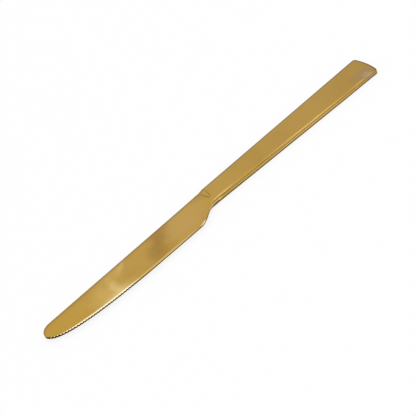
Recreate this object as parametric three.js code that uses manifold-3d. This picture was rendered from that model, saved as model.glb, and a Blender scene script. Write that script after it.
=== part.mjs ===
// Gold table knife with a built-up handle, lying on its side.
// The forged blade carries a bolster, a plug and a tang. Two pressed handle halves are brazed to each other
// along their rims and to the bolster at their mouth, and cement holds the tang inside.
// Millimetres, +Z up. The knife is drawn about its middle plane, z = 0, with its straight spine on y = 0
// and the bolster's back face on x = 0. The tip is towards -X and the cutting edge towards -Y.

import * as THREE from 'three';
import { mergeVertices } from 'three/addons/utils/BufferGeometryUtils.js';
import Module from 'manifold-3d';

const wasm = await Module();
wasm.setup();

// Blade outline: the nose falls from the spine to the tip, the belly is the cutting edge's sweep behind it
const bladeLength = 115;
const bladeWidth = 19.1;
const noseLength = 7;
const noseDrop = 5.9;
const bellyLength = 81;
const bellyEase = 3.1;
const bellyFullness = 2.15;

// Blade thicknesses, from the spine across the ground face to the bevel of the cutting edge
const spineThickness = 2.45;
const tipThickness = 1.6;
const spineRound = 0.5;
const bevelWidth = 0.28;
const bevelThickness = 1;
const edgeThickness = 0.5;
const tipEdgeThickness = 0.8;

// Serrations along the front of the cutting edge, cut less and less deep from the tip
const toothPitch = 1.7;
const firstToothDepth = 0.45;
const lastToothDepth = 0.22;
const notchRadius = 0.8;
const serrationStart = 2.4;
const serrationLength = 53;

// Heel, neck and bolster, with the small ramp that steps down from the bolster to the spine
const heelLength = 16.4;
const heelSetback = 2.5;
const neckWidth = 12.2;
const neckThickness = 4.2;
const shoulderLength = 7;
const swellLength = 20;
const rampLength = 3.2;
const rampLand = 0.3;
const rampReach = 10;
const rampLean = 0.5;
const rampPoint = 0.3;
const rampCurve = 3;

// Handle
const handleLength = 115;
const buttWidth = 17.8;
const buttThickness = 3.4;
const buttCrown = 1.2;
const buttCornerRadius = 1.6;
const edgeRound = 0.9;
const shellWall = 0.8;
const innerBend = 0.15;

// Joints of the handle
const seamGap = 0.2;
const bolsterGap = 0.2;
const plugLength = 6;
const plugClearance = 0.1;
const rootOverlap = 1;
const tangLength = 70;
const tangShoulder = 1.5;
const tangTipWidth = 4.5;
const keyHoleRadius = 1.1;
const keyHoleSpacing = 22;
const keyHoleCount = 2;
const cementCover = 10;
const cementFilm = 0.35;
const cementClearance = 0.12;

// Fineness of the curves, in steps
const roundSteps = 4;
const cornerSteps = 5;
const crownSteps = 8;
const noseSteps = 12;
const bellySteps = 18;
const heelSteps = 18;
const faceSteps = 8;
const notchSides = 14;
const holeSides = 16;
const edgeSamples = 600;

const { lerp, clamp, smoothstep } = THREE.MathUtils;
const quarterTurn = Math.PI / 2;
const beyond = bladeLength + handleLength;
const halfNeck = neckThickness / 2;
const halfButt = buttThickness / 2;
const flare = (buttWidth - neckWidth) / handleLength;
const heelFront = -heelSetback - heelLength;
const rampFront = -rampLand - rampLength;
const rampTip = rampFront + rampLean;

// Closed solid through a stack of rings with equal point counts, each turning left about the stack's way
function loftRings(rings) {
  const count = rings[0].length;
  const top = (rings.length - 1) * count;
  const index = [];
  for (let base = 0; base < top; base += count) {
    for (let step = 0; step < count; step += 1) {
      const here = base + step;
      const next = base + ((step + 1) % count);
      index.push(here, next, next + count);
      index.push(here, next + count, here + count);
    }
  }
  for (let step = 1; step < count - 1; step += 1) {
    index.push(0, step + 1, step);
    index.push(top, top + step, top + step + 1);
  }
  const positions = rings.flat().flatMap((point) => point.toArray());
  const geometry = new THREE.BufferGeometry();
  geometry.setAttribute('position', new THREE.Float32BufferAttribute(positions, 3));
  geometry.setIndex(index);
  return geometry;
}

function toSolid(geometry) {
  geometry.deleteAttribute('normal');
  geometry.deleteAttribute('uv');
  const merged = mergeVertices(geometry);
  const mesh = new wasm.Mesh({
    numProp: 3,
    vertProperties: new Float32Array(merged.attributes.position.array),
    triVerts: new Uint32Array(merged.index.array),
  });
  return new wasm.Manifold(mesh);
}

function toGeometry(solid) {
  const mesh = solid.getMesh();
  const geometry = new THREE.BufferGeometry();
  geometry.setAttribute('position', new THREE.BufferAttribute(mesh.vertProperties, 3));
  geometry.setIndex(new THREE.BufferAttribute(mesh.triVerts, 1));
  geometry.computeVertexNormals();
  return geometry;
}

// Wide block between two planes across one axis, for parting a solid
function slab(axis, from, to) {
  const size = new THREE.Vector3(beyond, beyond, beyond).multiplyScalar(2);
  const middle = new THREE.Vector3();
  size[axis] = to - from;
  middle[axis] = (from + to) / 2;
  const geometry = new THREE.BoxGeometry(size.x, size.y, size.z);
  geometry.translate(middle.x, middle.y, middle.z);
  return toSolid(geometry);
}

// Upright round rod through the middle plane
function uprightRod(x, y, radius, height, sides) {
  const geometry = new THREE.CylinderGeometry(radius, radius, height, sides);
  geometry.rotateX(quarterTurn);
  geometry.translate(x, y, 0);
  return toSolid(geometry);
}

// Blade

function spineY(x) {
  const along = clamp((x + bladeLength) / noseLength, 0, 1);
  return -noseDrop * (1 - Math.sqrt(1 - (1 - along) ** 2));
}

function edgeY(x) {
  const along = clamp((x + bladeLength) / bellyLength, 0, 1);
  const drop = (1 - (1 - along) ** bellyEase) ** (1 / bellyFullness);
  const belly = -lerp(noseDrop, bladeWidth, drop);
  return lerp(belly, -neckWidth, smoothstep(x, heelFront, -heelSetback));
}

// The cutting edge from the tip to the heel, with its points closer together round the tip
class CuttingEdge extends THREE.Curve {
  getPoint(t, target = new THREE.Vector3()) {
    const x = lerp(-bladeLength, heelFront, t ** 2);
    return target.set(x, edgeY(x), 0);
  }
}

// Half thickness of the plain ground face, at a distance from the spine
function groundHalf(x, fromSpine) {
  const along = clamp((x + bladeLength) / bladeLength, 0, 1);
  const across = clamp(fromSpine / (spineY(x) - edgeY(x)), 0, 1);
  return lerp(lerp(tipThickness, spineThickness, along), bevelThickness, across) / 2;
}

// The same face with its swelling into the bolster, long at the spine and short at the neck's lower side
function faceHalf(x, fromSpine) {
  const reach = clamp(fromSpine / rampReach, 0, 1);
  const front = lerp(rampFront, rampTip, reach);
  const atFront = lerp(spineThickness / 2, halfNeck, reach);
  const length = lerp(swellLength, shoulderLength, smoothstep(fromSpine, 0, neckWidth));
  const swell = smoothstep(x, front - length, front);
  return groundHalf(x, fromSpine) + (atFront - groundHalf(front, fromSpine)) * swell;
}

// Half thickness of the blunt cutting edge itself, which is thicker round the tip
function edgeHalf(x) {
  const along = smoothstep(x, -bladeLength, bellyLength - bladeLength);
  return lerp(tipEdgeThickness, edgeThickness, along) / 2;
}

// One closed section of the blade. The spine is rounded, and the other side changes at the shoulder from
// the narrow bevel of the cutting edge to the rounded side of the neck. A station bends where a line of
// the ramp does.
function bladeSection({ atSpine, inside, onBolster, curve = 1 }) {
  const width = spineY(inside) - edgeY(inside);
  const fit = Math.min(1, width / (4 * (bevelWidth + spineRound)));
  const neck = smoothstep(inside, rampTip - shoulderLength, rampTip);
  const backRound = fit * (onBolster ? edgeRound : spineRound);
  const sideSpan = fit * lerp(bevelWidth, edgeRound, neck);
  const sideHalf = lerp(edgeHalf(inside), halfNeck - edgeRound, neck);
  const placeX = (fromSpine) => lerp(atSpine, inside, clamp(fromSpine / rampReach, 0, 1) ** curve);
  const half = (fromSpine) => (onBolster ? halfNeck : faceHalf(placeX(fromSpine), fromSpine));

  const upper = [];
  const add = (fromSpine, height) => {
    const x = placeX(fromSpine);
    upper.push(new THREE.Vector3(x, spineY(x) - fromSpine, height));
  };
  for (let step = 0; step < roundSteps; step += 1) {
    const turn = quarterTurn * (step / roundSteps);
    const fromSpine = backRound * (1 - Math.cos(turn));
    add(fromSpine, half(backRound) - backRound * (1 - Math.sin(turn)));
  }
  for (let step = 0; step < faceSteps; step += 1) {
    const fromSpine = lerp(backRound, width - sideSpan, step / faceSteps);
    add(fromSpine, half(fromSpine));
  }
  const faceEnd = half(width - sideSpan);
  for (let step = roundSteps; step >= 0; step -= 1) {
    const turn = quarterTurn * (step / roundSteps);
    const inward = 1 - Math.cos(turn);
    const climb = lerp(inward, Math.sin(turn), neck);
    add(width - sideSpan * inward, lerp(sideHalf, faceEnd, climb));
  }
  const lower = upper.map((point) => new THREE.Vector3(point.x, point.y, -point.z));
  return [...upper, ...lower.reverse()];
}

function bladeStations() {
  const stations = [];
  const square = (x) => stations.push({ atSpine: x, inside: x, onBolster: false });
  const noseBack = -bladeLength + noseLength;
  for (let step = 1; step <= noseSteps; step += 1) {
    const turn = quarterTurn * (step / noseSteps);
    square(-bladeLength + noseLength * (1 - Math.cos(turn)));
  }
  for (let step = 1; step <= bellySteps; step += 1) {
    square(lerp(noseBack, heelFront, step / bellySteps));
  }
  for (let step = 1; step < heelSteps; step += 1) {
    square(lerp(heelFront, rampFront, step / heelSteps));
  }
  stations.push({ atSpine: rampFront, inside: rampTip - rampPoint / 2, onBolster: false });
  stations.push({ atSpine: -rampLand, inside: rampTip + rampPoint / 2, onBolster: true, curve: rampCurve });
  stations.push({ atSpine: 0, inside: 0, onBolster: true });
  return stations;
}

// Round notches ground out of the edge, leaving a row of small teeth
function cutSerrations(blade) {
  const edge = new CuttingEdge();
  edge.arcLengthDivisions = edgeSamples;
  const length = edge.getLength();
  const notches = Math.floor(serrationLength / toothPitch);
  let cut = blade;
  for (let notch = 0; notch < notches; notch += 1) {
    const along = (serrationStart + notch * toothPitch) / length;
    const point = edge.getPointAt(along);
    const way = edge.getTangentAt(along);
    const outward = new THREE.Vector3(way.y, -way.x, 0);
    const depth = lerp(firstToothDepth, lastToothDepth, notch / (notches - 1));
    const centre = point.addScaledVector(outward, notchRadius - depth);
    cut = cut.subtract(uprightRod(centre.x, centre.y, notchRadius, neckThickness, notchSides));
  }
  return cut;
}

// Handle

// Half the handle's thickness, an even taper from the neck to the butt
function halfThickness(x) {
  return lerp(halfNeck, halfButt, x / handleLength);
}

// Where the line y = start + slope x leaves a circle, on its far side
function farCrossing(start, slope, centre, radius) {
  const a = 1 + slope ** 2;
  const b = slope * (start - centre.y) - centre.x;
  const c = centre.x ** 2 + (start - centre.y) ** 2 - radius ** 2;
  const x = (-b + Math.sqrt(b ** 2 - a * c)) / a;
  return new THREE.Vector2(x, start + slope * x);
}

function arcPoint(centre, radius, angle) {
  return new THREE.Vector2(centre.x + radius * Math.cos(angle), centre.y + radius * Math.sin(angle));
}

// Plan of the handle drawn in by an inset: along the lower side, round the crowned butt, back by the spine
function handleOutline(inset, frontX) {
  const corner = Math.max(buttCornerRadius - inset, innerBend);
  const depth = inset + corner;
  const crownRadius = (buttWidth ** 2 / 4 + buttCrown ** 2) / (2 * buttCrown);
  const crown = new THREE.Vector2(handleLength - crownRadius, -buttWidth / 2);
  const lean = Math.atan(flare);
  const lowerStart = (inward) => -neckWidth + inward / Math.cos(lean);
  const lowerCorner = farCrossing(lowerStart(depth), -flare, crown, crownRadius - depth);
  const spineCorner = farCrossing(-depth, 0, crown, crownRadius - depth);
  const lowerTurn = Math.atan2(lowerCorner.y - crown.y, lowerCorner.x - crown.x);
  const spineTurn = Math.atan2(spineCorner.y - crown.y, spineCorner.x - crown.x);

  const outline = [new THREE.Vector2(frontX, lowerStart(inset) - flare * frontX)];
  for (let step = 0; step <= cornerSteps; step += 1) {
    const angle = lerp(-quarterTurn - lean, lowerTurn, step / cornerSteps);
    outline.push(arcPoint(lowerCorner, corner, angle));
  }
  for (let step = 1; step < crownSteps; step += 1) {
    const angle = lerp(lowerTurn, spineTurn, step / crownSteps);
    outline.push(arcPoint(crown, crownRadius - inset, angle));
  }
  for (let step = 0; step <= cornerSteps; step += 1) {
    const angle = lerp(spineTurn, quarterTurn, step / cornerSteps);
    outline.push(arcPoint(spineCorner, corner, angle));
  }
  outline.push(new THREE.Vector2(frontX, -inset));
  return outline;
}

// Tapered bar in the handle's form, drawn in by an inset all round, with its long edges rounded
function handleBar(inset, frontX, round) {
  const rings = [];
  const addRing = (side, turn) => {
    const outline = handleOutline(inset + round * (1 - Math.cos(turn)), frontX);
    const rise = round * (1 - Math.sin(turn));
    const level = (x) => side * (halfThickness(x) - inset - rise);
    rings.push(outline.map(({ x, y }) => new THREE.Vector3(x, y, level(x))));
  };
  for (let step = roundSteps; step >= 0; step -= 1) {
    addRing(-1, quarterTurn * (step / roundSteps));
  }
  for (let step = 0; step <= roundSteps; step += 1) {
    addRing(1, quarterTurn * (step / roundSteps));
  }
  return toSolid(loftRings(rings));
}

const handleForm = handleBar(0, 0, edgeRound);
const handleHollow = handleBar(shellWall, -rootOverlap, innerBend);
const handleWalls = handleForm.subtract(handleHollow);
const shellWalls = handleWalls.intersect(slab('x', bolsterGap, beyond));

function upperHalf() {
  return shellWalls.intersect(slab('z', seamGap / 2, beyond));
}

function lowerHalf() {
  return shellWalls.intersect(slab('z', -beyond, -seamGap / 2));
}

function seamBraze() {
  return shellWalls.intersect(slab('z', -seamGap / 2, seamGap / 2));
}

function bolsterBraze() {
  return handleWalls.intersect(slab('x', 0, bolsterGap));
}

// Tang, plug and cement

// Flat tang down the middle of the hollow, narrowing to a round end, grown on all sides by an allowance
function tangBar(grow) {
  const rootHalf = neckWidth / 2 - shellWall - plugClearance - tangShoulder;
  const endRadius = tangTipWidth / 2;
  const endX = tangLength - endRadius;
  const middle = (x) => -(neckWidth + flare * x) / 2;
  const level = (x) => halfThickness(x) - shellWall - cementFilm - 2 * cementClearance + grow;
  const rootX = plugLength - rootOverlap;

  const plan = [new THREE.Vector2(rootX, middle(rootX) - rootHalf - grow)];
  for (let step = 0; step <= 2 * cornerSteps; step += 1) {
    const angle = lerp(-quarterTurn, quarterTurn, step / (2 * cornerSteps));
    plan.push(arcPoint(new THREE.Vector2(endX, middle(endX)), endRadius + grow, angle));
  }
  plan.push(new THREE.Vector2(rootX, middle(rootX) + rootHalf + grow));
  const ring = (side) => plan.map(({ x, y }) => new THREE.Vector3(x, y, side * level(x)));
  return toSolid(loftRings([ring(-1), ring(1)]));
}

// The holes through the tang that the cement sets in, and the pegs of cement in them
function withoutKeyHoles(tang, radius) {
  let keyed = tang;
  for (let hole = 1; hole <= keyHoleCount; hole += 1) {
    const x = plugLength + hole * keyHoleSpacing;
    const rod = uprightRod(x, -(neckWidth + flare * x) / 2, radius, neckThickness, holeSides);
    keyed = keyed.subtract(rod);
  }
  return keyed;
}

function forgedBlade() {
  const blade = cutSerrations(toSolid(loftRings(bladeStations().map(bladeSection))));
  const plugBar = handleBar(shellWall + plugClearance, -rootOverlap, innerBend);
  const plug = plugBar.intersect(slab('x', -beyond, plugLength));
  const tang = withoutKeyHoles(tangBar(0), keyHoleRadius);
  return blade.add(plug).add(tang);
}

function tangCement() {
  const filling = handleBar(shellWall + cementClearance, 0, innerBend);
  const front = plugLength + cementClearance;
  const pocket = withoutKeyHoles(tangBar(cementClearance), keyHoleRadius - cementClearance);
  return filling.intersect(slab('x', front, tangLength + cementCover)).subtract(pocket);
}

// Finishes and assembly

const goldBlade = { color: '#c9a04f', roughness: 0.24, metalness: 1 };
const goldHandle = { color: '#c29848', roughness: 0.3, metalness: 1 };
const brazingMetal = { color: '#b08a44', roughness: 0.42, metalness: 1 };
const hardCement = { color: '#b9b2a4', roughness: 0.95, metalness: 0 };

const knife = new THREE.Group();
function addPiece(name, solid, finish) {
  const piece = new THREE.Mesh(toGeometry(solid), new THREE.MeshStandardMaterial(finish));
  piece.name = name;
  knife.add(piece);
}
addPiece('blade', forgedBlade(), goldBlade);
addPiece('bolster_braze', bolsterBraze(), brazingMetal);
addPiece('handle_upper_half', upperHalf(), goldHandle);
addPiece('handle_lower_half', lowerHalf(), goldHandle);
addPiece('handle_seam_braze', seamBraze(), brazingMetal);
addPiece('tang_cement', tangCement(), hardCement);

// Laid down on the flat of the lower half, with the origin under the middle of the knife
knife.rotation.y = Math.atan((halfNeck - halfButt) / handleLength);
const box = new THREE.Box3().setFromObject(knife, true);
const middle = box.getCenter(new THREE.Vector3());
knife.position.set(-middle.x, -middle.y, -box.min.z);

const part = new THREE.Group();
part.add(knife);

export default part;
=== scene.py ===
# Gold table knife with a round-nosed serrated blade, lying on the flat of its handle.
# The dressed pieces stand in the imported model's own frame, in metres, with +Z up.
import math

import bmesh
import bpy
import numpy as np
from mathutils import Matrix, Vector


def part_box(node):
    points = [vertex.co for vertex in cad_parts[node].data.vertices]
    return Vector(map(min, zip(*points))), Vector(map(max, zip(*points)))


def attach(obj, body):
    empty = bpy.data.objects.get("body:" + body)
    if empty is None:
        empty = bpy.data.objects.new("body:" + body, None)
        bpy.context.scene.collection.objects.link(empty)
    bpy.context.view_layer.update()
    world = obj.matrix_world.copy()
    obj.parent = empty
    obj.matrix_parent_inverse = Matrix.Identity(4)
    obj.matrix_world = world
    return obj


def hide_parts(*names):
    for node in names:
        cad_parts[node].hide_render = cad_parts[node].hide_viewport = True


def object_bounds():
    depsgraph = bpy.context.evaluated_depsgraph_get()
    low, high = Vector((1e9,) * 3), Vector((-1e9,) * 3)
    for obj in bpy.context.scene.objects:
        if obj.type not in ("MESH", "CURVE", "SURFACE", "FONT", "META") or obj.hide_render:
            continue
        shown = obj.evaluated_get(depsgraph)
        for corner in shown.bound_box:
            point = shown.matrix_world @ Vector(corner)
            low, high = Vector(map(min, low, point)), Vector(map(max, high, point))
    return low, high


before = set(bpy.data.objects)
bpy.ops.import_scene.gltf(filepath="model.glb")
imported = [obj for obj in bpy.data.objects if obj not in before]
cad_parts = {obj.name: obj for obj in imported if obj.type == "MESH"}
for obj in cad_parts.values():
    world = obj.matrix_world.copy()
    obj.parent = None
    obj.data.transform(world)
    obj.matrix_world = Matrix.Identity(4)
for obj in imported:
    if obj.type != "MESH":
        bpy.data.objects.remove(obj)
cad_low, cad_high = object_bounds()


# Blade
# One forging of stainless steel makes the blade, the bolster, and the plug and flat tang that go into the
# handle. Its faces are ground thinner to the tip and to the edge, round notches serrate the front of the
# edge, and the whole forging is polished and coated gold.

# The neck, where the bolster meets the handle, and the handle's taper to the butt
blade_low, blade_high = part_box("blade")
joint_low, joint_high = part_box("bolster_braze")
half_neck = (joint_high.z - joint_low.z) / 2
neck_width = joint_high.y - joint_low.y
bolster_gap = 0.0002
handle_length = bolster_gap + cad_high.x - joint_high.x
butt_thickness = 0.0034
half_butt = butt_thickness / 2

# The knife is drawn from the bolster's back, at the spine and on the middle plane: x runs to the butt, y
# falls towards the edge, and z is the height over that plane. Then it is laid down on the tapered handle's
# underside.
lean = math.atan((half_neck - half_butt) / handle_length)
joint_x = joint_low.x + half_neck * math.sin(lean)
drawing_place = Vector((joint_x, joint_high.y, half_neck * math.cos(lean)))
lay_down = Matrix.Translation(drawing_place) @ Matrix.Rotation(lean, 4, "Y")

# Plan of the blade
blade_length = joint_x - blade_low.x
blade_width = blade_high.y - blade_low.y
nose_length = 0.007
nose_drop = 0.0059
belly_length = 0.115
belly_ease = 4.12
belly_fullness = 2.2
heel_length = 0.0164
heel_setback = 0.0025
heel_front = -heel_setback - heel_length

# Thickness of the spine, the bevel and the blunt edge, and where they change along the blade
spine_thickness = 0.00245
tip_thickness = 0.0016
spine_round = 0.0005
spine_roll = 0.0008
bevel_width = 0.001
nose_bevel_width = 0.00042
nose_bevel_reach = 0.02
heel_bevel_width = 0.0005
heel_bevel_start = -0.035
bevel_thickness = 0.00125
bevel_end = -0.0125
edge_thickness = 0.00065
saw_edge_thickness = 0.00085
saw_edge_end = -0.07
plain_edge_start = -0.04

# Serrations
tooth_pitch = 0.0017
first_tooth_depth = 0.00048
last_tooth_depth = 0.00022
notch_radius = 0.0008
serration_start = 0.0024
serration_length = 0.053

# The ramp from the spine up to the bolster, the creases along its two lines, and the neck's swelling
ramp_length = 0.0031
ramp_land = 0.0001
ramp_reach = 0.009
ramp_lean = 0.0009
ramp_point = 0.0003
ramp_curve = 3
ramp_front = -ramp_land - ramp_length
ramp_tip = ramp_front + ramp_lean
crease_half = 0.0004
crease_room = 0.42
joint_room = 0.8
crease_depth = 0.00003
crease_fade = 0.0035
shoulder_length = 0.007
swell_length = 0.02
side_round = 0.00085
edge_roll = 0.0014

# Plug and tang, and the hollow handle that they go into
plug_length = 0.006
plug_clearance = 0.0001
shell_wall = 0.0008
tang_length = 0.07
tang_shoulder = 0.0015
tang_tip_width = 0.0045
tang_play = 0.00059
key_hole_radius = 0.0011
key_hole_spacing = 0.022
key_hole_count = 2
butt_width = 0.0178
flare = (butt_width - neck_width) / handle_length


def blend(start, end, share):
    """A value between two others."""
    return start + (end - start) * share


def share_of(value, start, end):
    """How far a value has come from a start to an end, from 0 to 1."""
    return min(max((value - start) / (end - start), 0), 1)


def eased(value, start, end):
    """The same with soft ends."""
    share = share_of(value, start, end)
    return share * share * (3 - 2 * share)


def spine_line(x):
    """The spine in plan, straight and then rounded down to the tip."""
    ahead = 1 - share_of(x, -blade_length, nose_length - blade_length)
    return -nose_drop * (1 - math.sqrt(1 - ahead**2))


def edge_line(x):
    """The cutting edge in plan: the belly, and the heel that sweeps up to the neck."""
    along = share_of(x, -blade_length, belly_length - blade_length)
    drop = (1 - (1 - along) ** belly_ease) ** (1 / belly_fullness)
    belly = -blend(nose_drop, blade_width, drop)
    return blend(belly, -neck_width, eased(x, heel_front, -heel_setback))


def edge_half(x):
    """Half the thickness of the blunt cutting edge itself, which is thicker where it is serrated."""
    return blend(saw_edge_thickness, edge_thickness, eased(x, saw_edge_end, plain_edge_start)) / 2


def bevel_span(x):
    """Width of the bevel over the cutting edge, which narrows round the nose and at the heel."""
    widening = eased(x, -blade_length, nose_bevel_reach - blade_length)
    narrowing = eased(x, heel_bevel_start, heel_front)
    return blend(blend(nose_bevel_width, bevel_width, widening), heel_bevel_width, narrowing)


def ground_half(x, from_spine):
    """Half the thickness of the plain ground faces."""
    along = share_of(x, -blade_length, 0)
    across = share_of(from_spine, 0, spine_line(x) - edge_line(x))
    return blend(blend(tip_thickness, spine_thickness, along), bevel_thickness, across) / 2


def swollen_half(x, from_spine):
    """The same with the swelling into the bolster, long at the spine and short at the neck's lower side."""
    reach = share_of(from_spine, 0, ramp_reach)
    front = blend(ramp_front, ramp_tip, reach)
    at_front = blend(spine_thickness / 2, half_neck, reach)
    length = blend(swell_length, shoulder_length, eased(from_spine, 0, neck_width))
    swell = eased(x, front - length, front)
    return ground_half(x, from_spine) + (at_front - ground_half(front, from_spine)) * swell


# The ramp's two lines, in the order that they are given in
front_line = 0
back_line = 1


def ramp_lines(from_spine):
    """Where the ramp starts and ends along the knife: a straight front line, and a back line that curves
    to it."""
    reach = share_of(from_spine, 0, ramp_reach)
    front = blend(ramp_front, ramp_tip - ramp_point / 2, reach)
    back = blend(-ramp_land, ramp_tip + ramp_point / 2, reach**ramp_curve)
    return front, back


def crease_reach(line, from_spine):
    """How far the crease along one of the ramp's lines reaches ahead of it and behind it. Creases get
    narrower where the lines run together, and the back one stays clear of the joint behind it."""
    front, back = ramp_lines(from_spine)
    ahead = min(crease_half, crease_room * (back - front))
    behind = min(ahead, -joint_room * back) if line == back_line else ahead
    return ahead, behind


def crease_share(x, from_spine):
    """1 in the middle of a crease and 0 beside it. Creases fade out at the spine and where they meet."""
    shares = []
    for line, place in enumerate(ramp_lines(from_spine)):
        ahead, behind = crease_reach(line, from_spine)
        off = (x - place) / (behind if x > place else ahead)
        shares.append(max(1 - off**2, 0) ** 2)
    ends = eased(from_spine, 0, crease_fade) * (1 - eased(from_spine, ramp_reach, ramp_reach + crease_half))
    return ends * max(shares)


def face_half(x, from_spine):
    """Half the thickness of the whole forging: the blade, the ramp with its creases, and the bolster."""
    front, back = ramp_lines(from_spine)
    climb = blend(eased(x, front, back), share_of(x, front, back), eased(from_spine, 0, crease_fade))
    plain = blend(swollen_half(min(x, front), from_spine), half_neck, climb)
    return plain - crease_depth * crease_share(x, from_spine)


def blade_ring(x_at):
    """One section of the forging: round the spine, over the face and down the bevel or the neck's round
    side, then back by the lower face. Its place along the knife may change with the way from the spine.
    Near the tip, the spine's roll and the bevel together take a set part of the width at most."""
    round_steps = 8
    face_steps = 22
    widths_to_rolls = 4
    inside = x_at(blade_width)
    width = spine_line(inside) - edge_line(inside)
    bevel = bevel_span(inside)
    fit = min(1, width / (widths_to_rolls * (bevel + spine_roll)))
    neck = eased(inside, ramp_tip - shoulder_length, ramp_tip)
    on_ramp = share_of(x_at(0), ramp_front, -ramp_land)
    back_round = fit * blend(spine_round, side_round, on_ramp)
    back_roll = fit * blend(spine_roll, edge_roll, on_ramp)
    side_span = fit * blend(bevel, edge_roll, neck)
    side_half = blend(edge_half(inside), half_neck - side_round, neck)
    upper = []

    def half_at(from_spine):
        return face_half(x_at(from_spine), from_spine)

    def add(from_spine, height):
        x = x_at(from_spine)
        upper.append(Vector((x, spine_line(x) - from_spine, height)))

    for step in range(round_steps):
        turn = math.pi / 2 * step / round_steps
        add(back_roll * (1 - math.cos(turn)), half_at(back_roll) - back_round * (1 - math.sin(turn)))
    for step in range(face_steps):
        from_spine = blend(back_roll, width - side_span, step / face_steps)
        add(from_spine, half_at(from_spine))
    face_end = half_at(width - side_span)
    for step in range(round_steps, -1, -1):
        turn = math.pi / 2 * step / round_steps
        inward = 1 - math.cos(turn)
        climb = blend(inward, math.sin(turn), neck)
        add(width - side_span * inward, blend(side_half, face_end, climb))
    lower = [Vector((point.x, point.y, -point.z)) for point in reversed(upper)]
    return upper + lower


def square_ring(x):
    """A section straight across the knife."""
    return blade_ring(lambda way: x)


def heel_ring(share):
    """Sections through the heel lean more and more until they lie along the ramp's front line."""
    def x_at(way):
        ahead, _ = crease_reach(front_line, way)
        return blend(heel_front, ramp_lines(way)[front_line] - ahead, share)

    return blade_ring(x_at)


def crease_ring(line, offset):
    """Sections along one of the ramp's two lines, at an offset given as a share of the crease's reach."""
    def x_at(way):
        ahead, behind = crease_reach(line, way)
        return ramp_lines(way)[line] + offset * (behind if offset > 0 else ahead)

    return blade_ring(x_at)


def half_thickness(x):
    """Half the handle's thickness, an even taper from the neck to the butt."""
    return blend(half_neck, half_butt, x / handle_length)


bolster_ring = square_ring(0)


def inner_ring(x, half_width, half_height):
    """The bolster's section, drawn in to a plug or tang about the handle's middle line."""
    middle = -(neck_width + flare * x) / 2
    across = half_width / (neck_width / 2)
    up = half_height / half_neck
    return [Vector((x, middle + (p.y + neck_width / 2) * across, p.z * up)) for p in bolster_ring]


nose_steps = 44
belly_steps = 80
heel_steps = 60
crease_steps = 8
nose_turns = [math.pi / 2 * step / nose_steps for step in range(1, nose_steps)]
blade_rings = [square_ring(nose_length * (1 - math.cos(turn)) - blade_length) for turn in nose_turns]
blade_rings += [square_ring(x) for x in np.linspace(nose_length - blade_length, heel_front, belly_steps)]
blade_rings += [heel_ring(step / heel_steps) for step in range(1, heel_steps)]
for line in (front_line, back_line):
    blade_rings += [crease_ring(line, offset) for offset in np.linspace(-1, 1, crease_steps + 1)]
blade_rings.append(bolster_ring)

plug_half = neck_width / 2 - shell_wall - plug_clearance
for x in (0, plug_length):
    blade_rings.append(inner_ring(x, plug_half, half_thickness(x) - shell_wall - plug_clearance))
tang_round = tang_tip_width / 2
tang_steps = 8
tang_turns = [math.pi / 2 * step / tang_steps for step in range(tang_steps)]
tang_outline = [(plug_length, plug_half - tang_shoulder)]
tang_outline += [
    (tang_length - tang_round * (1 - math.sin(turn)), tang_round * math.cos(turn)) for turn in tang_turns
]
for x, half_width in tang_outline:
    blade_rings.append(inner_ring(x, half_width, half_thickness(x) - shell_wall - tang_play))


def strip(mesh, row, after, closed):
    """Quads between two rows of corners that lie side by side. Closed rows run round on themselves."""
    for place in range(len(row) if closed else len(row) - 1):
        beside = (place + 1) % len(row)
        mesh.faces.new((row[place], row[beside], after[beside], after[place]))


def skin(mesh, rows, closed):
    """Strips from each row of points to the next, and the corners that they hang on."""
    corners = [[mesh.verts.new(point) for point in row] for row in rows]
    for row, after in zip(corners, corners[1:]):
        strip(mesh, row, after, closed)
    return corners


def new_object(name, data):
    """An object in the scene for a mesh, a lamp or a camera."""
    thing = bpy.data.objects.new(name, data)
    bpy.context.scene.collection.objects.link(thing)
    return thing


def mesh_object(name, mesh):
    """An object in the scene with a drawn mesh."""
    data = bpy.data.meshes.new(name)
    mesh.to_mesh(data)
    return new_object(name, data)


def cut_rounds(mesh, rounds, height):
    """Upright round cuts right through the mesh, each given by its place and its radius. The slivers and
    spare points that cutting leaves are cleared."""
    round_sides = 40
    sliver = 0.000001
    spare_edges = 2
    rods = bmesh.new()
    for x, y, radius in rounds:
        bmesh.ops.create_cone(
            rods,
            cap_ends=True,
            segments=round_sides,
            radius1=radius,
            radius2=radius,
            depth=height,
            matrix=Matrix.Translation((x, y, 0)),
        )
    blank = mesh_object("blank", mesh)
    cutter = mesh_object("cutter", rods)
    rods.free()
    cutting = blank.modifiers.new("cutting", "BOOLEAN")
    cutting.operation = "DIFFERENCE"
    cutting.object = cutter
    mesh.clear()
    mesh.from_mesh(blank.evaluated_get(bpy.context.evaluated_depsgraph_get()).to_mesh())
    bmesh.ops.dissolve_degenerate(mesh, edges=mesh.edges, dist=sliver)
    spare_points = [point for point in mesh.verts if len(point.link_edges) == spare_edges]
    bmesh.ops.dissolve_verts(mesh, verts=spare_points)
    mesh.normal_update()
    for data in (blank.data, cutter.data):
        bpy.data.meshes.remove(data)


def finished_piece(name, mesh):
    """The drawn mesh laid down as an object of its own, smooth but for its true corners."""
    sharp_corner = math.radians(24)
    bmesh.ops.recalc_face_normals(mesh, faces=mesh.faces)
    for face in mesh.faces:
        face.smooth = True
    for edge in mesh.edges:
        edge.smooth = len(edge.link_faces) == 2 and edge.calc_face_angle() < sharp_corner
    piece = mesh_object(name, mesh)
    mesh.free()
    piece.data.transform(lay_down)
    even = piece.modifiers.new("even_shading", "WEIGHTED_NORMAL")
    even.keep_sharp = True
    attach(piece, "root")
    return piece


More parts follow.
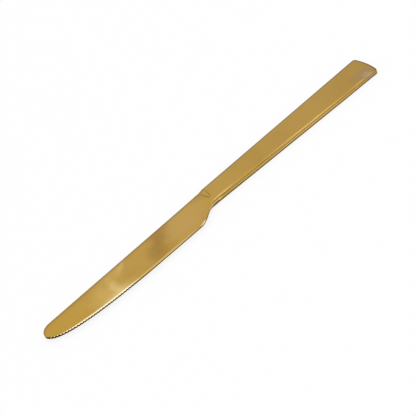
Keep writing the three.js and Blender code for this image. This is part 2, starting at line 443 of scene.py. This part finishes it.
# The notches stand at an even pitch along the edge's own length and get shallower from the tip
edge_samples = 1200
edge_x = blend(-blade_length, heel_front, np.linspace(0, 1, edge_samples) ** 2)
edge_y = np.array([edge_line(x) for x in edge_x])
edge_run = np.concatenate([[0], np.cumsum(np.hypot(np.diff(edge_x), np.diff(edge_y)))])
notch_count = int(serration_length / tooth_pitch)
notch_run = serration_start + tooth_pitch * np.arange(notch_count)
notch_out = notch_radius - np.linspace(first_tooth_depth, last_tooth_depth, notch_count)
way_x = np.interp(notch_run, edge_run, np.gradient(edge_x, edge_run))
way_y = np.interp(notch_run, edge_run, np.gradient(edge_y, edge_run))
notch_x = np.interp(notch_run, edge_run, edge_x) + way_y * notch_out
notch_y = np.interp(notch_run, edge_run, edge_y) - way_x * notch_out
serration_end = np.interp(serration_start + serration_length, edge_run, edge_x)

blade_mesh = bmesh.new()
blade_corners = skin(blade_mesh, blade_rings, closed=True)
blade_mesh.faces.new(blade_corners[0])
blade_mesh.faces.new(blade_corners[-1])
rounds = [(x, y, notch_radius) for x, y in zip(notch_x, notch_y)]
for hole in range(1, key_hole_count + 1):
    hole_x = plug_length + hole * key_hole_spacing
    rounds.append((hole_x, -(neck_width + flare * hole_x) / 2, key_hole_radius))
cut_rounds(blade_mesh, rounds, 2 * half_neck)

# The serrated stretch's own wall, with its notches, keeps the dark of the grinding wheel, deepened as
# painted shade, and the narrow bevel over it is rubbed bright and given a painted highlight
coated, ground, rubbed_and_highlit = range(3)
wall_slope = 0.5
face_play = 0.000003
for face in blade_mesh.faces:
    middle = face.calc_center_median()
    from_spine = spine_line(middle.x) - middle.y
    from_edge = middle.y - edge_line(middle.x)
    near_edge = middle.x < bevel_end and from_edge < min(2 * bevel_width, from_spine)
    if near_edge and abs(face.normal.z) < wall_slope:
        face.material_index = ground if middle.x < serration_end else coated
    elif near_edge and face_half(middle.x, from_spine) - abs(middle.z) > face_play:
        face.material_index = rubbed_and_highlit

# Painted shade: the creases, the lower part of each side, the rim along the spine and the rolled edges on
# the spine's side are darkened in the colour, standing in for the shade and dark reflections that fall
# there
crease_painted_shade = 0.62
rim_painted_shade = 0.3
rim_end = 3 * spine_roll
low_side = 0.25
lowest_side = 0.62
face_rim = 0.00012
edge_wall = 0.00001
edge_wall_end = -0.006


def side_painted_shade(point, half, rounding, far):
    """How much painted shade a point of a side takes, from 0 to 1. far is 1 on the spine's side and at the
    butt, and there the middle of the rolled edge takes the most painted shade."""
    below_face = half - abs(point.z)
    low = eased(below_face, 0, face_rim) * eased(-point.z / half, low_side, lowest_side)
    rise = 1 - share_of(below_face, 0, rounding)
    return max(low, far * 2 * rise * math.sqrt(1 - rise**2))


def blade_painted_shade(point):
    """The same painted shade for the blade, with its creases, the rim along the spine and the wall of the
    edge.
    """
    if point.x > 0:
        return 0
    from_spine = spine_line(point.x) - point.y
    crease = crease_painted_shade * crease_share(point.x, from_spine) if point.x > heel_front else 0
    far = 1 - share_of(from_spine, 0, neck_width / 2)
    rim = rim_painted_shade * (1 - share_of(from_spine, spine_roll, rim_end))
    on_wall = point.y - edge_line(point.x) < edge_wall
    wall = 1 - eased(point.x, bevel_end, edge_wall_end) if on_wall else 0
    return max(crease, rim, wall, side_painted_shade(point, face_half(point.x, from_spine), spine_round, far))


def mark_painted_shade(mesh, dull_at):
    """Keep on every point of a mesh how much painted shade it takes, for its finish to read."""
    painted_shade = mesh.verts.layers.float.new("painted_shade")
    for point in mesh.verts:
        point[painted_shade] = dull_at(point.co)


mark_painted_shade(blade_mesh, blade_painted_shade)
blade = finished_piece("forged_blade", blade_mesh)


def set_sockets(tree, node, sockets):
    """Set each named input of a node to a value, or link it to another node's output."""
    for name, value in sockets.items():
        if isinstance(value, bpy.types.NodeSocket):
            tree.links.new(value, node.inputs[name])
        else:
            node.inputs[name].default_value = value


def place_node(tree, kind, sockets=(), **settings):
    """A shader node with its settings and its inputs."""
    node = tree.nodes.new(kind)
    for name, value in settings.items():
        setattr(node, name, value)
    set_sockets(tree, node, dict(sockets))
    return node


def new_group(name, takes, gives):
    """An empty shader node group with named inputs and outputs, and its two end nodes."""
    tree = bpy.data.node_groups.new(name, "ShaderNodeTree")
    for way, sockets in (("INPUT", takes), ("OUTPUT", gives)):
        for label, kind in sockets.items():
            tree.interface.new_socket(name=label, in_out=way, socket_type="NodeSocket" + kind)
    return tree, tree.nodes.new("NodeGroupInput").outputs, tree.nodes.new("NodeGroupOutput").inputs


def place_group(tree, group, **sockets):
    """What a node group gives, placed in a material with its own values."""
    return place_node(tree, "ShaderNodeGroup", sockets, node_tree=group).outputs


def mixed(tree, share, first, second):
    """A colour between two colours, by the numbers of the colour sockets on Blender's mix node."""
    mix = place_node(tree, "ShaderNodeMix", {0: share, 6: first, 7: second}, data_type="RGBA")
    return mix.outputs[2]


def ranged(tree, value, low, high, to_low=0.0, to_high=1.0):
    """A value moved from one range to another, with soft ends."""
    sockets = {"Value": value, "From Min": low, "From Max": high, "To Min": to_low, "To Max": to_high}
    node = place_node(tree, "ShaderNodeMapRange", sockets, interpolation_type="SMOOTHSTEP")
    return node.outputs["Result"]


def vector_step(tree, operation, first, second):
    """Two vectors added, taken from each other, multiplied or divided."""
    node = place_node(tree, "ShaderNodeVectorMath", {0: first, 1: second}, operation=operation)
    return node.outputs["Vector"]


def tone(red, green, blue):
    """A colour as a screen shows it, from 0 to 255, turned by the sRGB curve into what the shaders take."""
    full_level = 255
    straight_end = 0.04045
    straight_slope = 12.92
    curve_lift = 0.055
    curve_power = 2.4

    def linear(level):
        share = level / full_level
        if share <= straight_end:
            return share / straight_slope
        return ((share + curve_lift) / (1 + curve_lift)) ** curve_power

    return (linear(red), linear(green), linear(blue), 1)


# The coating's tone drifts a little from place to place
drift_detail = 2.0
pale_start = 0.52
pale_full = 0.72
deep_start = 0.48
deep_full = 0.3
coating_drift, takes, gives = new_group(
    "coating_drift",
    {"Colour": "Color", "Paler": "Color", "Deeper": "Color", "Scale": "Float", "Seed": "Float"},
    {"Colour": "Color"},
)
where = place_node(coating_drift, "ShaderNodeTexCoord").outputs["Object"]
slow = place_node(
    coating_drift,
    "ShaderNodeTexNoise",
    {"Vector": where, "W": takes["Seed"], "Scale": takes["Scale"], "Detail": drift_detail},
    noise_dimensions="4D",
).outputs["Fac"]
paler = ranged(coating_drift, slow, pale_start, pale_full)
deeper = ranged(coating_drift, slow, deep_start, deep_full)
drifting = mixed(coating_drift, paler, takes["Colour"], takes["Paler"])
drifting = mixed(coating_drift, deeper, drifting, takes["Deeper"])
coating_drift.links.new(drifting, gives["Colour"])

# Fine lines that the polishing belt leaves along the knife
line_detail = 4.0
polish_lines, takes, gives = new_group(
    "polish_lines", {"Along": "Float", "Across": "Float"}, {"Lines": "Float"}
)
where = place_node(polish_lines, "ShaderNodeTexCoord").outputs["Object"]
stretch = place_node(
    polish_lines, "ShaderNodeCombineXYZ", {"X": takes["Along"], "Y": takes["Across"], "Z": takes["Across"]}
).outputs["Vector"]
drawn_out = vector_step(polish_lines, "MULTIPLY", where, stretch)
lines = place_node(
    polish_lines, "ShaderNodeTexNoise", {"Vector": drawn_out, "Scale": 1.0, "Detail": line_detail}
).outputs["Fac"]
polish_lines.links.new(lines, gives["Lines"])

# A soft-edged patch, turned about the upright and full within its core, which is a share of its reach. Its
# edge may wander by a ragged amount.
ripple_scale = 150.0
ripple_detail = 3.0
ripple_middle = (0.5, 0.5, 0.5)
soft_patch, takes, gives = new_group(
    "soft_patch",
    {
        "Centre": "Vector",
        "Reach": "Vector",
        "Turn": "Float",
        "Core": "Float",
        "Strength": "Float",
        "Ragged": "Float",
    },
    {"Patch": "Float"},
)
where = place_node(soft_patch, "ShaderNodeTexCoord").outputs["Object"]
turned = place_node(
    soft_patch,
    "ShaderNodeVectorRotate",
    {"Vector": where, "Center": takes["Centre"], "Angle": takes["Turn"]},
    rotation_type="Z_AXIS",
    invert=True,
).outputs["Vector"]
ripple = place_node(
    soft_patch, "ShaderNodeTexNoise", {"Vector": where, "Scale": ripple_scale, "Detail": ripple_detail}
).outputs["Color"]
wander = vector_step(soft_patch, "SUBTRACT", ripple, ripple_middle)
wander = place_node(
    soft_patch, "ShaderNodeVectorMath", {0: wander, "Scale": takes["Ragged"]}, operation="SCALE"
).outputs["Vector"]
off = vector_step(soft_patch, "ADD", vector_step(soft_patch, "SUBTRACT", turned, takes["Centre"]), wander)
off = vector_step(soft_patch, "DIVIDE", off, takes["Reach"])
far = place_node(soft_patch, "ShaderNodeVectorMath", {0: off}, operation="LENGTH").outputs["Value"]
patch = ranged(soft_patch, far, 1.0, takes["Core"], 0.0, takes["Strength"])
soft_patch.links.new(patch, gives["Patch"])

# Painted shade: the colour darkened towards a dark tone by the share that each point keeps
painted_shade_places, takes, gives = new_group(
    "painted_shade_places", {"Colour": "Color", "Dull": "Color"}, {"Colour": "Color"}
)
painted_shade = place_node(painted_shade_places, "ShaderNodeAttribute", attribute_name="painted_shade").outputs["Fac"]
painted_shade_places.links.new(mixed(painted_shade_places, painted_shade, takes["Colour"], takes["Dull"]), gives["Colour"])


def new_material(name):
    """A new material, with its node tree and its shader."""
    material = bpy.data.materials.new(name)
    material.use_nodes = True
    tree = material.node_tree
    return material, tree, tree.nodes["Principled BSDF"]


drift_scale = 45.0
# The dark tone of the painted shade
painted_shade_tone = tone(94, 68, 30)
line_low = 0.3
line_high = 0.7
line_gloss = 0.02
line_haze = 0.03
line_strength = 0.2
line_relief = 0.000002


def gold_finish(name, gold, paler, deeper, seed, roughness, line_scales, marks):
    """Polished gold coating with a drifting tone, marks of wear and of painted highlights, reflections and
    shade, the painted shade that each point keeps, and fine polishing lines."""
    material, tree, shader = new_material(name)
    along, across = line_scales
    colour = place_group(
        tree, coating_drift, Colour=gold, Paler=paler, Deeper=deeper, Scale=drift_scale, Seed=seed
    )["Colour"]
    for mark_tone, inputs in marks:
        colour = mixed(tree, place_group(tree, soft_patch, **inputs)["Patch"], colour, mark_tone)
    colour = place_group(tree, painted_shade_places, Colour=colour, Dull=painted_shade_tone)["Colour"]
    lines = place_group(tree, polish_lines, Along=along, Across=across)["Lines"]
    shine = ranged(tree, lines, line_low, line_high, roughness - line_gloss, roughness + line_haze)
    relief = place_node(
        tree, "ShaderNodeBump", {"Height": lines, "Strength": line_strength, "Distance": line_relief}
    ).outputs["Normal"]
    finish = {"Base Color": colour, "Roughness": shine, "Normal": relief, "Metallic": 1.0}
    set_sockets(tree, shader, finish)
    return material


def mark(colour, centre, reach, strength, core=0.0, turn=0.0, ragged=0.0):
    """A mark of wear or of painted highlight, reflection or shade, from its tone and the inputs of its soft
    patch.
    """
    place = {"Centre": centre, "Reach": reach, "Turn": turn}
    return colour, {**place, "Core": core, "Strength": strength, "Ragged": ragged}


# Painted highlight, shade and glint on the neck's side, which the bolster shares with the handle
neck_painted_highlight = mark(tone(240, 206, 132), (0.003, -0.0024, 0.0039), (0.01, 0.0012, 0.00045), 0.35, core=0.2)
neck_shade = mark(tone(138, 104, 44), (0.004, -0.0027, 0.0031), (0.008, 0.0025, 0.0005), 0.5, core=0.2)
neck_glint = mark(tone(255, 230, 150), (-0.0045, -0.0028, 0.0022), (0.009, 0.0025, 0.0007), 1.0, core=0.5)
neck_marks = [neck_painted_highlight, neck_shade, neck_glint]

# Painted reflections and shade on the blade's faces: broad pale sheens, a warmer nose, ragged pale streaks,
# a darker spine and a dark slanting band. A mark with a whole reach takes in all of the knife that way.
whole = 1.0
across_blade = math.pi / 2
slanted = math.radians(47)
shallow = math.radians(30)
heel_sheen = mark(tone(184, 150, 83), (-0.0215, 0.003, 0.003), (0.0205, 0.016, whole), 0.8, core=0.35)
spine_shade = mark(tone(172, 137, 68), (-0.094, 0.0088, 0.003), (0.034, 0.005, whole), 0.7, core=0.2)
nose_sheen = mark(tone(184, 146, 61), (-0.108, 0.001, 0.003), (0.034, 0.02, whole), 0.8, core=0.3)
broad_painted_reflection = mark(tone(202, 170, 94), (-0.078, -0.002, 0.003), (0.016, 0.011, whole), 0.65, ragged=0.012)
cross_painted_reflection = mark(
    tone(220, 194, 126),
    (-0.0724, -0.0025, 0.003),
    (0.013, 0.0042, whole),
    0.5,
    turn=across_blade,
    ragged=0.008,
)
low_painted_reflection = mark(tone(224, 200, 142), (-0.0755, -0.0068, 0.003), (0.0165, 0.0045, whole), 0.5, ragged=0.006)
high_painted_reflection = mark(
    tone(212, 184, 116), (-0.0625, 0.006, 0.003), (0.009, 0.0034, whole), 0.45, turn=shallow, ragged=0.008
)
dark_band = mark(
    tone(148, 113, 56), (-0.0385, 0.0025, 0.003), (0.026, 0.0086, whole), 0.72, turn=slanted, ragged=0.008
)
face_marks = [heel_sheen, spine_shade, nose_sheen, broad_painted_reflection, cross_painted_reflection, low_painted_reflection, high_painted_reflection, dark_band]
blade_coating = {
    "gold": tone(181, 145, 72),
    "paler": tone(190, 156, 84),
    "deeper": tone(173, 136, 62),
    "seed": 3.0,
    "roughness": 0.2,
    "line_scales": (60.0, 2600.0),
}
blade_gold = gold_finish("blade_gold", **blade_coating, marks=face_marks + neck_marks)

# The bevel is worn bright with a painted highlight, most of all over the notches, and a painted glint at
# the heel
bevel_wear_and_highlight = mark(tone(214, 184, 112), (-0.08, 0.0, 0.0), (0.0675, whole, whole), 0.65, core=0.7)
notch_wear_and_highlight = mark(tone(252, 240, 196), (-0.0925, 0.0, 0.0), (0.033, whole, whole), 1.0, core=0.62)
heel_glint = mark(tone(250, 236, 190), (-0.0165, -0.0086, 0.0028), (0.0036, 0.0025, whole), 0.85, core=0.1)
worn_and_highlit_bevel = gold_finish("worn_and_highlit_bevel", **blade_coating, marks=[bevel_wear_and_highlight, notch_wear_and_highlight, heel_glint])

# Rough ground metal in the notches and on the wall between them, darkened as painted shade
scratch_low = 0.35
scratch_high = 0.65
smoother_scratch = 0.42
rougher_scratch = 0.6
ground_painted_shade, tree, shader = new_material("ground_painted_shade")
scratches = place_group(tree, polish_lines, Along=5000.0, Across=900.0)["Lines"]
scratched = ranged(tree, scratches, scratch_low, scratch_high)
ground_shade_tone = mixed(tree, scratched, tone(60, 41, 13), tone(92, 66, 26))
ground_shine = ranged(tree, scratches, line_low, line_high, smoother_scratch, rougher_scratch)
set_sockets(tree, shader, {"Base Color": ground_shade_tone, "Roughness": ground_shine, "Metallic": 1.0})

# In the order of the faces' numbers: coated, ground, rubbed and highlit
for finish in (blade_gold, ground_painted_shade, worn_and_highlit_bevel):
    blade.data.materials.append(finish)
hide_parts("blade")


# Tang cement
# Hard filled resin poured round the tang, which grips it through the key holes. It stays out of sight
# inside the handle, so the solid itself is kept and only takes a gritty finish.

grit_scale = 1800.0
grit_detail = 5.0
grit_low = 0.35
grit_high = 0.65
grit_strength = 0.6
grit_relief = 0.00005
cement_roughness = 0.95
cement_grey, tree, shader = new_material("gritty_cement")
grit = place_node(tree, "ShaderNodeTexNoise", {"Scale": grit_scale, "Detail": grit_detail}).outputs["Fac"]
grains = mixed(tree, ranged(tree, grit, grit_low, grit_high), tone(168, 160, 146), tone(204, 198, 186))
relief = place_node(
    tree, "ShaderNodeBump", {"Height": grit, "Strength": grit_strength, "Distance": grit_relief}
).outputs["Normal"]
set_sockets(tree, shader, {"Base Color": grains, "Normal": relief, "Roughness": cement_roughness})
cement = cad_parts["tang_cement"]
cement.data.materials.clear()
cement.data.materials.append(cement_grey)


# Handle halves
# Two shallow pressings of stainless sheet, alike but mirrored, flared from the neck to a crowned butt.
# Their rims meet on the middle plane, and their mouths go over the plug at the bolster.

butt_crown = 0.001
lower_butt_corner = 0.0014
spine_butt_corner = 0.0018
butt_tuck = 0.0002
tuck_start = 0.08
tuck_end = 0.118
inner_bend = 0.00015
seam_gap = 0.0002
rim_ease = 0.00006


def far_crossing(start, slope, centre, radius):
    """Where the line y = start + slope x leaves a circle, on its far side."""
    a = 1 + slope**2
    b = slope * (start - centre.y) - centre.x
    c = centre.x**2 + (start - centre.y) ** 2 - radius**2
    x = (-b + math.sqrt(b**2 - a * c)) / a
    return Vector((x, start + slope * x))


def arc(centre, radius, start, end, steps):
    """Points along a part of a circle."""
    angles = [blend(start, end, step / steps) for step in range(steps + 1)]
    return [centre + radius * Vector((math.cos(angle), math.sin(angle))) for angle in angles]


def tuck_at(point):
    """How far the lower side is drawn in, which it is a little towards the butt."""
    return butt_tuck * eased(point.x, tuck_start, tuck_end) * share_of(-point.y, 0, butt_width)


def handle_outline(inset):
    """Plan of the handle drawn in by an inset: by the lower side, round the crowned butt, and back by the
    spine."""
    side_steps = 40
    corner_steps = 10
    crown_steps = 25
    lower_round = max(lower_butt_corner - inset, inner_bend)
    spine_round_off = max(spine_butt_corner - inset, inner_bend)
    crown_radius = (butt_width**2 / 4 + butt_crown**2) / (2 * butt_crown)
    crown = Vector((handle_length - crown_radius, -butt_width / 2))
    slant = math.atan(flare)
    lower_start = -neck_width + inset / math.cos(slant)
    lower_inner = -neck_width + (inset + lower_round) / math.cos(slant)
    lower_corner = far_crossing(lower_inner, -flare, crown, crown_radius - inset - lower_round)
    spine_inner = -inset - spine_round_off
    spine_corner = far_crossing(spine_inner, 0, crown, crown_radius - inset - spine_round_off)
    lower_turn = math.atan2(lower_corner.y - crown.y, lower_corner.x - crown.x)
    spine_turn = math.atan2(spine_corner.y - crown.y, spine_corner.x - crown.x)
    lower_bend = arc(lower_corner, lower_round, -math.pi / 2 - slant, lower_turn, corner_steps)
    butt = arc(crown, crown_radius - inset, lower_turn, spine_turn, crown_steps)
    spine_bend = arc(spine_corner, spine_round_off, spine_turn, math.pi / 2, corner_steps)
    mouth_lower = Vector((bolster_gap, lower_start - flare * bolster_gap))
    mouth_spine = Vector((bolster_gap, -inset))
    lower_side = [mouth_lower.lerp(lower_bend[0], step / side_steps) for step in range(side_steps)]
    spine_side = [mouth_spine.lerp(spine_bend[-1], step / side_steps) for step in range(side_steps)]
    outline = lower_side + lower_bend + butt[1:-1] + spine_bend + spine_side[::-1]
    return [point + Vector((0, tuck_at(point))) for point in outline]


def shell_rows(inset, roll, bend, ease):
    """Rows of points up one side of a half's wall: the eased rim, the wall, and the bend into the flat
    face."""
    ease_steps = 3
    bend_steps = 10
    rows = []
    for step in range(ease_steps + 1):
        turn = math.pi / 2 * step / ease_steps
        outline = handle_outline(inset + ease * (1 - math.sin(turn)))
        height = seam_gap / 2 + abs(ease) * (1 - math.cos(turn))
        rows.append([Vector((p.x, p.y, height)) for p in outline])
    for step in range(bend_steps + 1):
        turn = math.pi / 2 * step / bend_steps
        outline = handle_outline(inset + roll * (1 - math.cos(turn)))
        drop = inset + bend * (1 - math.sin(turn))
        rows.append([Vector((p.x, p.y, half_thickness(p.x) - drop)) for p in outline])
    return rows


def half_shell(side):
    """A pressing: an outer and an inner skin of equal rows, joined along the rim and the mouth."""
    mesh = bmesh.new()
    borders = []
    outside = (0, edge_roll, side_round, rim_ease)
    inside = (shell_wall, inner_bend, inner_bend, -rim_ease)
    for sizes in (outside, inside):
        rows = [[Vector((p.x, p.y, side * p.z)) for p in row] for row in shell_rows(*sizes)]
        corners = skin(mesh, rows, closed=False)
        flat = corners[-1]
        middle = len(flat) // 2
        strip(mesh, flat[:middle], flat[::-1][:middle], closed=False)
        lower_mouth = [row[0] for row in corners]
        spine_mouth = [row[-1] for row in corners]
        borders.append(corners[0] + spine_mouth[1:] + lower_mouth[:0:-1])
    strip(mesh, *borders, closed=True)
    return mesh


# Where the painted shade on the rolled edge round the butt starts and where it is full
butt_painted_shade_start = handle_length - 0.003
butt_painted_shade_end = handle_length - 0.001


def handle_painted_shade(point):
    """The same painted shade for the handle, whose butt takes it on its rolled edge as the spine's side
    does.
    """
    near_spine = 1 - share_of(-point.y, 0, neck_width / 2)
    far = max(near_spine, eased(point.x, butt_painted_shade_start, butt_painted_shade_end))
    return side_painted_shade(point, half_thickness(point.x), side_round, far)


# The halves take the blade's tone at the joint and darken to the butt. Their sides have a long painted
# sheen, the near edge and the butt's near edge a painted highlight, and a greyish painted reflection lies
# near the butt.
near_turn = -math.atan(flare)
reflection_turn = math.radians(-21)
joint_blend = mark(blade_coating["gold"], (0.0, 0.0, 0.0), (0.03, whole, whole), 1.0, core=0.2)
butt_shade = mark(tone(165, 130, 64), (0.115, 0.0, 0.0), (0.045, whole, whole), 0.6, core=0.3)
side_sheen = mark(tone(228, 194, 118), (0.055, 0.0, 0.00185), (0.1, whole, 0.0006), 0.8, core=0.2)
side_marks = [side_sheen, *neck_marks]
edge_painted_highlight = mark(
    tone(238, 206, 136), (0.065, -0.0056, 0.0035), (0.035, 0.0006, 0.0008), 0.4, core=0.2, turn=near_turn
)
butt_painted_highlight = mark(
    tone(214, 178, 100), (0.105, -0.0073, 0.0032), (0.014, 0.0007, 0.0007), 0.45, core=0.3, turn=near_turn
)
butt_painted_reflection = mark(
    tone(157, 128, 86),
    (0.107, -0.0048, 0.0034),
    (0.012, 0.0065, whole),
    0.75,
    core=0.1,
    turn=reflection_turn,
    ragged=0.006,
)
painted_reflection_heart = mark(
    tone(169, 146, 122),
    (0.1078, -0.0056, 0.0034),
    (0.0054, 0.0027, whole),
    0.85,
    core=0.1,
    turn=reflection_turn,
    ragged=0.006,
)
handle_gold = gold_finish(
    "handle_gold",
    gold=tone(177, 142, 71),
    paler=tone(182, 148, 78),
    deeper=tone(172, 137, 66),
    seed=8.0,
    roughness=0.22,
    line_scales=(40.0, 3200.0),
    marks=[joint_blend, butt_shade, *side_marks, edge_painted_highlight, butt_painted_highlight, butt_painted_reflection, painted_reflection_heart],
)
for name, node, side in (
    ("upper_handle_half", "handle_upper_half", 1),
    ("lower_handle_half", "handle_lower_half", -1),
):
    shell_mesh = half_shell(side)
    mark_painted_shade(shell_mesh, handle_painted_shade)
    shell = finished_piece(name, shell_mesh)
    shell.data.materials.append(handle_gold)
    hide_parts(node)


# Seam braze
# Brazing metal drawn into the gap between the two rims. It is ground nearly flush and coated with the rest,
# so it shows only as a hairline along the handle's side and round its butt.

flush_depth = 0.000003
# The braze takes the sides' painted sheen and the neck's painted highlight, shade and glint
braze_gold = gold_finish(
    "braze_gold",
    gold=tone(182, 147, 76),
    paler=tone(188, 154, 84),
    deeper=tone(176, 140, 70),
    seed=5.0,
    roughness=0.28,
    line_scales=(200.0, 3000.0),
    marks=side_marks,
)
seam_mesh = bmesh.new()
seam_rows = []
for inset, height in ((flush_depth, -1), (flush_depth, 1), (shell_wall, 1), (shell_wall, -1)):
    seam_rows.append([Vector((p.x, p.y, height * seam_gap / 2)) for p in handle_outline(inset)])
seam_corners = skin(seam_mesh, seam_rows, closed=False)
strip(seam_mesh, seam_corners[-1], seam_corners[0], closed=False)
for end in (0, -1):
    seam_mesh.faces.new([row[end] for row in seam_corners])
seam = finished_piece("seam_hairline", seam_mesh)
seam.data.materials.append(braze_gold)
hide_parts("handle_seam_braze")


# Bolster braze
# The same metal in the gap between the bolster's back and the mouth of the two halves. It is drawn in by
# brazing, dressed flush and coated with the rest.

collar_rows = []
for x, inset in ((0, flush_depth), (bolster_gap, flush_depth), (bolster_gap, shell_wall), (0, shell_wall)):
    collar_rows.append(inner_ring(x, neck_width / 2 - inset, half_thickness(x) - inset))
collar_mesh = bmesh.new()
collar_corners = skin(collar_mesh, collar_rows, closed=True)
strip(collar_mesh, collar_corners[0], collar_corners[-1], closed=True)
# The collar takes the handle's painted shade
mark_painted_shade(collar_mesh, handle_painted_shade)
collar = finished_piece("bolster_hairline", collar_mesh)
collar.data.materials.append(braze_gold)
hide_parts("bolster_braze")


# Floor and light
# A pale matt table top under a soft studio dome, which is bright overhead and dims towards the horizon, and
# one soft lamp in front of the knife's edge.

floor_radius = 4.0
floor_sides = 96
floor_mesh = bmesh.new()
bmesh.ops.create_circle(floor_mesh, cap_ends=True, segments=floor_sides, radius=floor_radius)
floor = mesh_object("floor", floor_mesh)
floor_mesh.free()


def reckoned(tree, operation, first, second):
    """Two values multiplied, or the greater of them."""
    return place_node(tree, "ShaderNodeMath", {0: first, 1: second}, operation=operation).outputs[0]


# The floor glows white to the camera, faintly so in the metal, and still takes the knife's shadow
floor_white = (0.95, 0.95, 0.95, 1)
own_light = 0.85
mirrored_light = 0.25
pale_floor, tree, shader = new_material("pale_floor")
set_sockets(tree, shader, {"Base Color": floor_white, "Roughness": 1.0, "Specular IOR Level": 0.0})
glow = place_node(tree, "ShaderNodeEmission", {"Color": (1, 1, 1, 1), "Strength": 1.0})
path = place_node(tree, "ShaderNodeLightPath").outputs
mirrored = reckoned(tree, "MAXIMUM", path["Is Glossy Ray"], path["Is Transmission Ray"])
mirrored = reckoned(tree, "MULTIPLY", mirrored, mirrored_light)
seen = reckoned(tree, "MULTIPLY", path["Is Camera Ray"], own_light)
share = reckoned(tree, "MAXIMUM", mirrored, seen)
both = place_node(tree, "ShaderNodeMixShader", {0: share, 1: shader.outputs[0], 2: glow.outputs[0]})
tree.links.new(both.outputs[0], tree.nodes["Material Output"].inputs["Surface"])
floor.data.materials.append(pale_floor)

# The dome's light, from the horizon up, as heights and levels
dome_light = 1.1
dome_levels = ((0.0, 0.25), (0.15, 0.4), (0.3, 0.62), (0.45, 0.84), (0.57, 0.95), (0.7, 1.0))
spare_stop = 0.5
studio = bpy.data.worlds.new("studio")
bpy.context.scene.world = studio
studio.use_nodes = True
tree = studio.node_tree
toward = place_node(tree, "ShaderNodeTexCoord").outputs["Generated"]
height = place_node(tree, "ShaderNodeSeparateXYZ", {"Vector": toward}).outputs["Z"]
dome = place_node(tree, "ShaderNodeValToRGB", {"Fac": height})
stops = dome.color_ramp.elements
while len(stops) < len(dome_levels):
    stops.new(spare_stop)
for stop, (position, level) in zip(stops, dome_levels):
    stop.position = position
    stop.color = (level, level, level, 1)
set_sockets(tree, tree.nodes["Background"], {"Color": dome.outputs["Color"], "Strength": dome_light})

lamp_way = Vector((0.38, -0.63, 0.68)).normalized()
lamp_distance = 1.5
softbox = bpy.data.lights.new("front_softbox", "AREA")
softbox.shape = "RECTANGLE"
softbox.size = 0.55
softbox.size_y = 0.35
softbox.energy = 0.8
softbox_lamp = new_object("front_softbox", softbox)
softbox_lamp.location = lamp_way * lamp_distance
softbox_lamp.rotation_mode = "QUATERNION"
softbox_lamp.rotation_quaternion = lamp_way.to_track_quat("Z", "Y")


# Camera
# It looks down on the knife from the edge's side and is turned about its own axis, as in the photograph.
# Its angles, its distance and its lens were fitted to the knife's outline there.

image_side = 416
sensor_width = 36
focal_length = 2382.26
view_distance = 1.2
view_azimuth = math.radians(-29.438)
view_elevation = math.radians(39.276)
view_roll = math.radians(-21.416)
view_target = Vector((-0.007232, -0.002024, 0.002))

back = Vector((
    math.sin(view_azimuth) * math.cos(view_elevation),
    -math.cos(view_azimuth) * math.cos(view_elevation),
    math.sin(view_elevation),
))
level_right = Vector((math.cos(view_azimuth), math.sin(view_azimuth), 0))
level_up = back.cross(level_right)
right = math.cos(view_roll) * level_right + math.sin(view_roll) * level_up
up = back.cross(right)
facing = Matrix((right, up, back)).transposed().to_4x4()
lens = bpy.data.cameras.new("camera")
lens.sensor_width = sensor_width
lens.lens = sensor_width * focal_length / image_side
camera = new_object("camera", lens)
camera.matrix_world = Matrix.Translation(view_target + back * view_distance) @ facing
bpy.context.scene.camera = camera
bpy.context.scene.view_settings.view_transform = "Standard"
